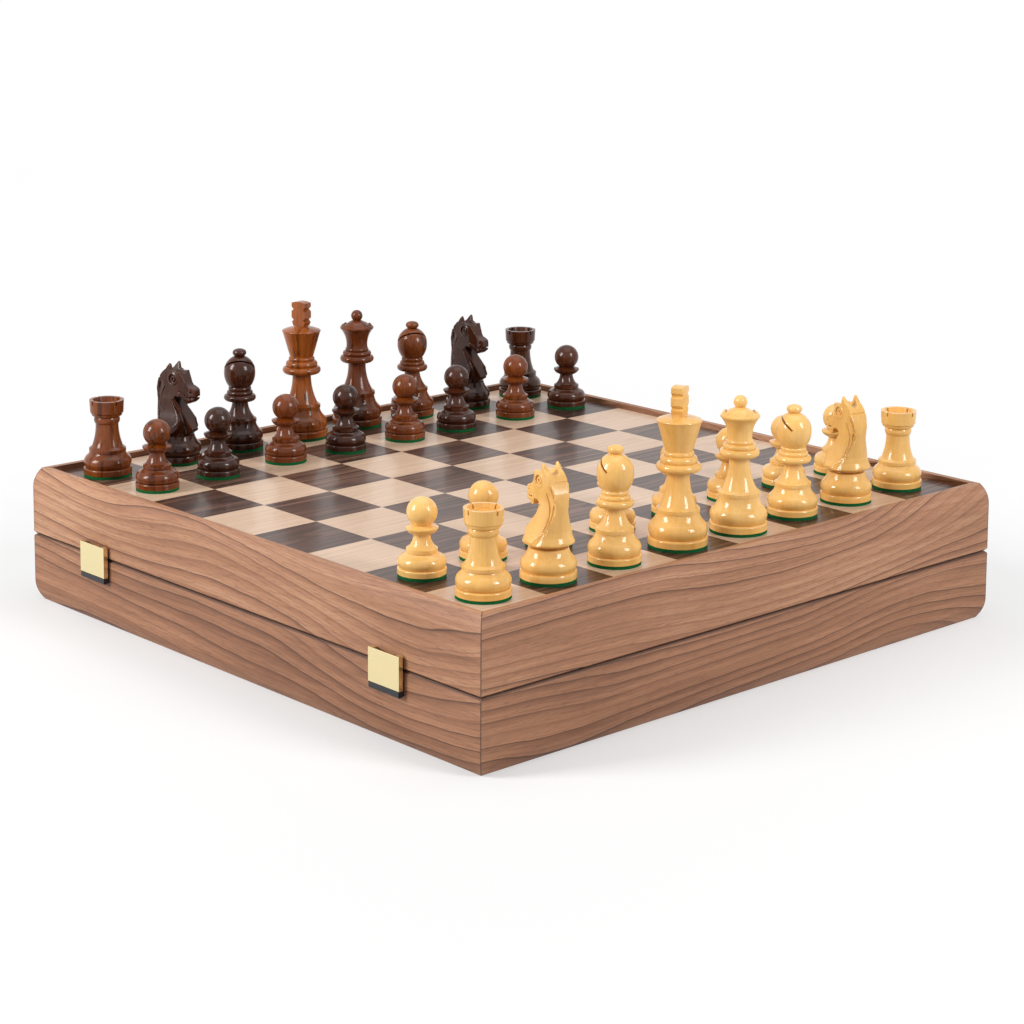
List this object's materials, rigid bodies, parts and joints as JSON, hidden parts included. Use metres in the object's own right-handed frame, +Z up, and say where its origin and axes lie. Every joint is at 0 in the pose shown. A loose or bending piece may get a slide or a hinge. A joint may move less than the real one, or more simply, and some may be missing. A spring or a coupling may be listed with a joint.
{
  "type": "folding chess case",
  "caption": "Wooden folding case with an inlaid chessboard for a lid, snap latches in front, hinges behind, and turned chessmen standing on it.",
  "frame": {"origin": "on the table under the middle of the case", "axes": "+Z up; -Y out of the latched front; +X towards the boxwood men's back rank"},
  "size_m": [0.4, 0.4084, 0.1652],
  "materials": {
    "walnut_veneer": "satin lacquered walnut veneer",
    "panel_wood": "stained board",
    "lining": "short felt",
    "light_veneer": "semi-gloss lacquered maple veneer",
    "dark_veneer": "semi-gloss lacquered walnut veneer",
    "brass": "bright brass plate",
    "black_plastic": "moulded black",
    "boxwood": "gloss lacquered boxwood on green felt",
    "rosewood": "gloss lacquered rosewood on green felt"
  },
  "bodies": {
    "case": {"lower_front_rail": "walnut_veneer", "lower_back_rail": "walnut_veneer", "lower_left_rail": "walnut_veneer", "lower_right_rail": "walnut_veneer", "bottom_panel": "panel_wood", "tray_lining": "lining", "lower_hinge_leaves": "brass", "hinge_pins": "brass", "lower_hinge_screws": "brass", "latch_left_keeper": "black_plastic", "latch_right_keeper": "black_plastic"},
    "lid": {"upper_front_rail": "walnut_veneer", "upper_back_rail": "walnut_veneer", "upper_left_rail": "walnut_veneer", "upper_right_rail": "walnut_veneer", "board_panel": "panel_wood", "light_squares": "light_veneer", "dark_squares": "dark_veneer", "upper_hinge_leaves": "brass", "upper_hinge_screws": "brass", "latch_left_base": "black_plastic", "latch_right_base": "black_plastic", "latch_pins": "brass"},
    "left_latch": {"latch_left_flap": "black_plastic", "latch_left_cover": "brass"},
    "right_latch": {"latch_right_flap": "black_plastic", "latch_right_cover": "brass"},
    "white_rook_front_body": {"white_rook_front": "boxwood"},
    "white_rook_back_body": {"white_rook_back": "boxwood"},
    "white_knight_front_body": {"white_knight_front": "boxwood"},
    "white_knight_back_body": {"white_knight_back": "boxwood"},
    "white_bishop_front_body": {"white_bishop_front": "boxwood"},
    "white_bishop_back_body": {"white_bishop_back": "boxwood"},
    "white_queen_body": {"white_queen": "boxwood"},
    "white_king_body": {"white_king": "boxwood"},
    "white_pawn_1_body": {"white_pawn_1": "boxwood"},
    "white_pawn_2_body": {"white_pawn_2": "boxwood"},
    "white_pawn_3_body": {"white_pawn_3": "boxwood"},
    "white_pawn_4_body": {"white_pawn_4": "boxwood"},
    "white_pawn_5_body": {"white_pawn_5": "boxwood"},
    "white_pawn_6_body": {"white_pawn_6": "boxwood"},
    "white_pawn_7_body": {"white_pawn_7": "boxwood"},
    "white_pawn_8_body": {"white_pawn_8": "boxwood"},
    "black_rook_front_body": {"black_rook_front": "rosewood"},
    "black_rook_back_body": {"black_rook_back": "rosewood"},
    "black_knight_front_body": {"black_knight_front": "rosewood"},
    "black_knight_back_body": {"black_knight_back": "rosewood"},
    "black_bishop_front_body": {"black_bishop_front": "rosewood"},
    "black_bishop_back_body": {"black_bishop_back": "rosewood"},
    "black_queen_body": {"black_queen": "rosewood"},
    "black_king_body": {"black_king": "rosewood"},
    "black_pawn_1_body": {"black_pawn_1": "rosewood"},
    "black_pawn_2_body": {"black_pawn_2": "rosewood"},
    "black_pawn_3_body": {"black_pawn_3": "rosewood"},
    "black_pawn_4_body": {"black_pawn_4": "rosewood"},
    "black_pawn_5_body": {"black_pawn_5": "rosewood"},
    "black_pawn_6_body": {"black_pawn_6": "rosewood"},
    "black_pawn_7_body": {"black_pawn_7": "rosewood"},
    "black_pawn_8_body": {"black_pawn_8": "rosewood"}
  },
  "joints": [
    {"name": "lid_hinge", "type": "hinge", "parent": "case", "child": "lid", "pos_m": [0, 0.2018, 0.0405], "axis": [-1, 0, 0], "range_deg": [0, 180]},
    {"name": "latch_left_pivot", "type": "hinge", "parent": "lid", "child": "left_latch", "pos_m": [-0.1315, -0.202, 0.047], "axis": [-1, 0, 0], "range_deg": [0, 95]},
    {"name": "latch_right_pivot", "type": "hinge", "parent": "lid", "child": "right_latch", "pos_m": [0.1315, -0.202, 0.047], "axis": [-1, 0, 0], "range_deg": [0, 95]},
    {"name": "white_rook_front_lift", "type": "slide", "parent": "lid", "child": "white_rook_front_body", "axis": [0, 0, 1], "range_m": [0, 0.1]},
    {"name": "white_rook_back_lift", "type": "slide", "parent": "lid", "child": "white_rook_back_body", "axis": [0, 0, 1], "range_m": [0, 0.1]},
    {"name": "white_knight_front_lift", "type": "slide", "parent": "lid", "child": "white_knight_front_body", "axis": [0, 0, 1], "range_m": [0, 0.1]},
    {"name": "white_knight_back_lift", "type": "slide", "parent": "lid", "child": "white_knight_back_body", "axis": [0, 0, 1], "range_m": [0, 0.1]},
    {"name": "white_bishop_front_lift", "type": "slide", "parent": "lid", "child": "white_bishop_front_body", "axis": [0, 0, 1], "range_m": [0, 0.1]},
    {"name": "white_bishop_back_lift", "type": "slide", "parent": "lid", "child": "white_bishop_back_body", "axis": [0, 0, 1], "range_m": [0, 0.1]},
    {"name": "white_queen_lift", "type": "slide", "parent": "lid", "child": "white_queen_body", "axis": [0, 0, 1], "range_m": [0, 0.1]},
    {"name": "white_king_lift", "type": "slide", "parent": "lid", "child": "white_king_body", "axis": [0, 0, 1], "range_m": [0, 0.1]},
    {"name": "white_pawn_1_lift", "type": "slide", "parent": "lid", "child": "white_pawn_1_body", "axis": [0, 0, 1], "range_m": [0, 0.1]},
    {"name": "white_pawn_2_lift", "type": "slide", "parent": "lid", "child": "white_pawn_2_body", "axis": [0, 0, 1], "range_m": [0, 0.1]},
    {"name": "white_pawn_3_lift", "type": "slide", "parent": "lid", "child": "white_pawn_3_body", "axis": [0, 0, 1], "range_m": [0, 0.1]},
    {"name": "white_pawn_4_lift", "type": "slide", "parent": "lid", "child": "white_pawn_4_body", "axis": [0, 0, 1], "range_m": [0, 0.1]},
    {"name": "white_pawn_5_lift", "type": "slide", "parent": "lid", "child": "white_pawn_5_body", "axis": [0, 0, 1], "range_m": [0, 0.1]},
    {"name": "white_pawn_6_lift", "type": "slide", "parent": "lid", "child": "white_pawn_6_body", "axis": [0, 0, 1], "range_m": [0, 0.1]},
    {"name": "white_pawn_7_lift", "type": "slide", "parent": "lid", "child": "white_pawn_7_body", "axis": [0, 0, 1], "range_m": [0, 0.1]},
    {"name": "white_pawn_8_lift", "type": "slide", "parent": "lid", "child": "white_pawn_8_body", "axis": [0, 0, 1], "range_m": [0, 0.1]},
    {"name": "black_rook_front_lift", "type": "slide", "parent": "lid", "child": "black_rook_front_body", "axis": [0, 0, 1], "range_m": [0, 0.1]},
    {"name": "black_rook_back_lift", "type": "slide", "parent": "lid", "child": "black_rook_back_body", "axis": [0, 0, 1], "range_m": [0, 0.1]},
    {"name": "black_knight_front_lift", "type": "slide", "parent": "lid", "child": "black_knight_front_body", "axis": [0, 0, 1], "range_m": [0, 0.1]},
    {"name": "black_knight_back_lift", "type": "slide", "parent": "lid", "child": "black_knight_back_body", "axis": [0, 0, 1], "range_m": [0, 0.1]},
    {"name": "black_bishop_front_lift", "type": "slide", "parent": "lid", "child": "black_bishop_front_body", "axis": [0, 0, 1], "range_m": [0, 0.1]},
    {"name": "black_bishop_back_lift", "type": "slide", "parent": "lid", "child": "black_bishop_back_body", "axis": [0, 0, 1], "range_m": [0, 0.1]},
    {"name": "black_queen_lift", "type": "slide", "parent": "lid", "child": "black_queen_body", "axis": [0, 0, 1], "range_m": [0, 0.1]},
    {"name": "black_king_lift", "type": "slide", "parent": "lid", "child": "black_king_body", "axis": [0, 0, 1], "range_m": [0, 0.1]},
    {"name": "black_pawn_1_lift", "type": "slide", "parent": "lid", "child": "black_pawn_1_body", "axis": [0, 0, 1], "range_m": [0, 0.1]},
    {"name": "black_pawn_2_lift", "type": "slide", "parent": "lid", "child": "black_pawn_2_body", "axis": [0, 0, 1], "range_m": [0, 0.1]},
    {"name": "black_pawn_3_lift", "type": "slide", "parent": "lid", "child": "black_pawn_3_body", "axis": [0, 0, 1], "range_m": [0, 0.1]},
    {"name": "black_pawn_4_lift", "type": "slide", "parent": "lid", "child": "black_pawn_4_body", "axis": [0, 0, 1], "range_m": [0, 0.1]},
    {"name": "black_pawn_5_lift", "type": "slide", "parent": "lid", "child": "black_pawn_5_body", "axis": [0, 0, 1], "range_m": [0, 0.1]},
    {"name": "black_pawn_6_lift", "type": "slide", "parent": "lid", "child": "black_pawn_6_body", "axis": [0, 0, 1], "range_m": [0, 0.1]},
    {"name": "black_pawn_7_lift", "type": "slide", "parent": "lid", "child": "black_pawn_7_body", "axis": [0, 0, 1], "range_m": [0, 0.1]},
    {"name": "black_pawn_8_lift", "type": "slide", "parent": "lid", "child": "black_pawn_8_body", "axis": [0, 0, 1], "range_m": [0, 0.1]}
  ]
}
